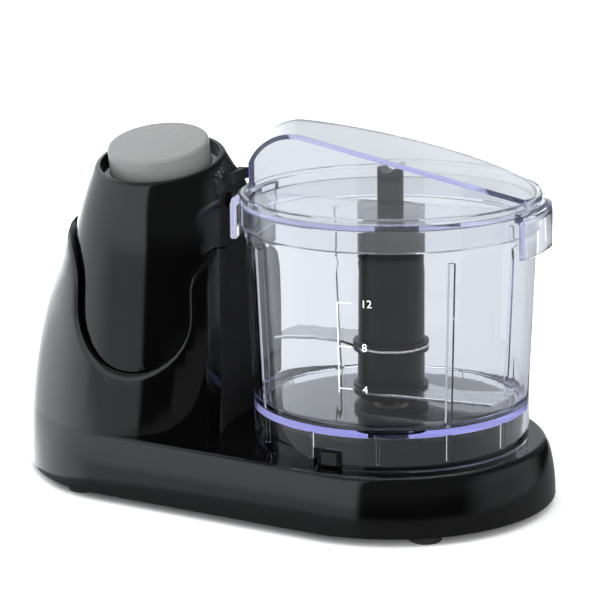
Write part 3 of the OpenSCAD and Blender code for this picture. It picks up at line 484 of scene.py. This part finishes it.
# %% Surround
drum_radius, drum_depth, drum_middle = 4.5, 7, 3.4
screen, shader = new_finish("screen", (0, 0, 0), 0)
shader.inputs["Emission Color"].default_value = (0.97, 0.98, 1, 1)
screen_place = screen.node_tree.nodes.new("ShaderNodeTexCoord")
screen_parts = screen.node_tree.nodes.new("ShaderNodeSeparateXYZ")
front_fade = screen.node_tree.nodes.new("ShaderNodeMapRange")
set_range(front_fade, -3, -0.5, 0.3, 0.95)
screen.node_tree.links.new(screen_place.outputs["Object"], screen_parts.inputs["Vector"])
screen.node_tree.links.new(screen_parts.outputs["Y"], front_fade.inputs["Value"])
screen.node_tree.links.new(front_fade.outputs["Result"], shader.inputs["Emission Strength"])
work = bmesh.new()
bmesh.ops.create_cone(
    work, cap_ends=True, segments=64, radius1=drum_radius, radius2=drum_radius, depth=drum_depth)
bmesh.ops.translate(work, vec=(0, 0, drum_middle), verts=work.verts)
surround = new_object("surround", work, screen)
surround.visible_camera = False
surround.visible_diffuse = False
surround.visible_glossy = False
surround.visible_shadow = False
print("surround stands")

# %% [markdown]
# ## The near floor
# The foot of the polished base mirrors the sheet close to it as a dim band. A faintly glowing patch that only
# reflections see stands in for that part of the sheet. Its dim glow is painted shade: the sheet as it would look in
# the base's shadow. It fades out towards its border, so it draws no line.

# %% Near floor
patch_size = (0.35, 0.42, 1)
patch_place = (0.075, -0.01, 0.0006)
painted_shade_glow, shader = new_finish("painted_shade_glow", (0, 0, 0), 0)
shader.inputs["Emission Color"].default_value = (0.95, 0.97, 1, 1)
# painted shade: a dim glow in place of the sheet in the base's shadow, seen only in reflections
shader.inputs["Emission Strength"].default_value = 0.2
shine_place = painted_shade_glow.node_tree.nodes.new("ShaderNodeTexCoord")
centre = painted_shade_glow.node_tree.nodes.new("ShaderNodeMapping")
centre.inputs["Location"].default_value = (-0.15, 0, 0)
centre.inputs["Scale"].default_value = (5, 5, 5)
ball = painted_shade_glow.node_tree.nodes.new("ShaderNodeTexGradient")
ball.gradient_type = "SPHERICAL"
border_fade = painted_shade_glow.node_tree.nodes.new("ShaderNodeMapRange")
border_fade.interpolation_type = "SMOOTHSTEP"
set_range(border_fade, 0.1, 0.4, 0, 1)
painted_shade_glow.node_tree.links.new(shine_place.outputs["Object"], centre.inputs["Vector"])
painted_shade_glow.node_tree.links.new(centre.outputs["Vector"], ball.inputs["Vector"])
painted_shade_glow.node_tree.links.new(ball.outputs["Fac"], border_fade.inputs["Value"])
painted_shade_glow.node_tree.links.new(border_fade.outputs["Result"], shader.inputs["Alpha"])
work = bmesh.new()
bmesh.ops.create_grid(work, x_segments=1, y_segments=1, size=0.5)
bmesh.ops.scale(work, vec=patch_size, verts=work.verts)
bmesh.ops.translate(work, vec=patch_place, verts=work.verts)
near_floor = new_object("near_floor", work, painted_shade_glow)
near_floor.visible_camera = False
near_floor.visible_diffuse = False
near_floor.visible_transmission = False
near_floor.visible_shadow = False
print("near floor laid")

# %% [markdown]
# ## The room's light
# The room's brightness is worked out from the direction alone. The direction is turned so that the middle of one tall
# soft light on the left lies on +X. Then the angle from that middle and the height say whether it meets the light.

# %% Helpers for the room
light_middle = math.radians(-158)
light_half = math.radians(65)
light_edge = 0.04
room = bpy.data.worlds.new("room")
room.use_nodes = True
tree = room.node_tree


def room_math(operation, first, second):
    step = tree.nodes.new("ShaderNodeMath")
    step.operation = operation
    tree.links.new(first, step.inputs[0])
    tree.links.new(second, step.inputs[1])
    return step.outputs["Value"]


def room_range(value, from_low, from_high, to_low, to_high, curve="SMOOTHSTEP"):
    step = tree.nodes.new("ShaderNodeMapRange")
    step.interpolation_type = curve
    set_range(step, from_low, from_high, to_low, to_high)
    tree.links.new(value, step.inputs["Value"])
    return step.outputs["Result"]


def room_turn(from_degrees, to_degrees, to_low, to_high):
    return room_range(aside, math.radians(from_degrees), math.radians(to_degrees), to_low, to_high)


# %% [markdown]
# The light's near edge makes the hard line down the dome. In front it is dimmer below the table's level, which leaves
# the lower half of the base wall darker, and it weakens overhead.

# %% The soft light's borders
direction = tree.nodes.new("ShaderNodeTexCoord")
turned = tree.nodes.new("ShaderNodeMapping")
turned.inputs["Rotation"].default_value = (0, 0, -light_middle)
split = tree.nodes.new("ShaderNodeSeparateXYZ")
tree.links.new(direction.outputs["Generated"], turned.inputs["Vector"])
tree.links.new(turned.outputs["Vector"], split.inputs["Vector"])
height = split.outputs["Z"]
aside = room_math("ARCTAN2", split.outputs["Y"], split.outputs["X"])
near_edge = room_range(aside, light_half - light_edge, light_half + light_edge, 1, 0)
far_edge = room_turn(-115, -105, 0, 1)
low_share = room_turn(0, 28, 1, 0.62)
low_edge = room_range(height, -0.03, 0.06, 0, 1)
tree.links.new(low_share, low_edge.node.inputs["To Min"])
high_edge = room_range(height, 0.6, 0.95, 1, 0.25)
sides = room_math("MULTIPLY", near_edge, far_edge)
heights = room_math("MULTIPLY", low_edge, high_edge)
print("soft light borders:", len(tree.nodes), "nodes")

# %% [markdown]
# Towards the rear the light is stronger low down, which brightens the heel, and weaker higher up, so the lid's raised
# top still shows. A faint glow lies on the far right, and a dim even light fills the upper half of the room.

# %% The rear, the glow and the sum
rear_low = room_turn(-78, -40, 2.6, 1)
rear_high = room_turn(-95, -75, 0.35, 1)
rear_share = room_range(height, 0.0, 0.16, 1, 1)
tree.links.new(rear_low, rear_share.node.inputs["To Min"])
tree.links.new(rear_high, rear_share.node.inputs["To Max"])
panel = room_math("MULTIPLY", room_math("MULTIPLY", sides, heights), rear_share)
glow = room_range(split.outputs["X"], -0.97, -0.72, 0.35, 0)
lights = room_range(room_math("ADD", panel, glow), 0, 4, 0, 5.44, "LINEAR")
upper = room_range(height, 0.0, 0.2, 0.02, 0.13)
sky = tree.nodes["Background"]
sky.inputs["Color"].default_value = (0.93, 0.98, 1, 1)
tree.links.new(room_math("ADD", lights, upper), sky.inputs["Strength"])
stage.world = room
print("room:", len(tree.nodes), "nodes")

# %% [markdown]
# ## Lamps and light paths
# A wide lamp overhead, the wash, lights the sheet and the tops. A small fill at the front right lifts the dark
# plastics. Neither shows in a reflection. Clear walls stand one behind another, so light needs many bounces.

# %% Lamps
def soft_light(name, place, aim, width, height, power):
    data = bpy.data.lights.new(name, "AREA")
    data.shape = "RECTANGLE"
    data.size = width
    data.size_y = height
    data.energy = power
    lamp = bpy.data.objects.new(name, data)
    line = Vector(aim) - Vector(place)
    lamp.matrix_world = Matrix.Translation(place) @ line.to_track_quat("-Z", "Y").to_matrix().to_4x4()
    lamp.visible_glossy = False
    stage.collection.objects.link(lamp)
    return lamp


wash = soft_light("wash", (0, 0.8, 4), (0, 0.8, 0), 10, 10, 520)
fill = soft_light("fill", (0.9, -1.2, 0.5), (0, 0, 0.1), 0.8, 0.8, 17)
fill.visible_transmission = False
stage.view_settings.view_transform = "Standard"
stage.cycles.max_bounces = 24
stage.cycles.glossy_bounces = 16
stage.cycles.transmission_bounces = 24
print("lamps:", wash.name, fill.name)
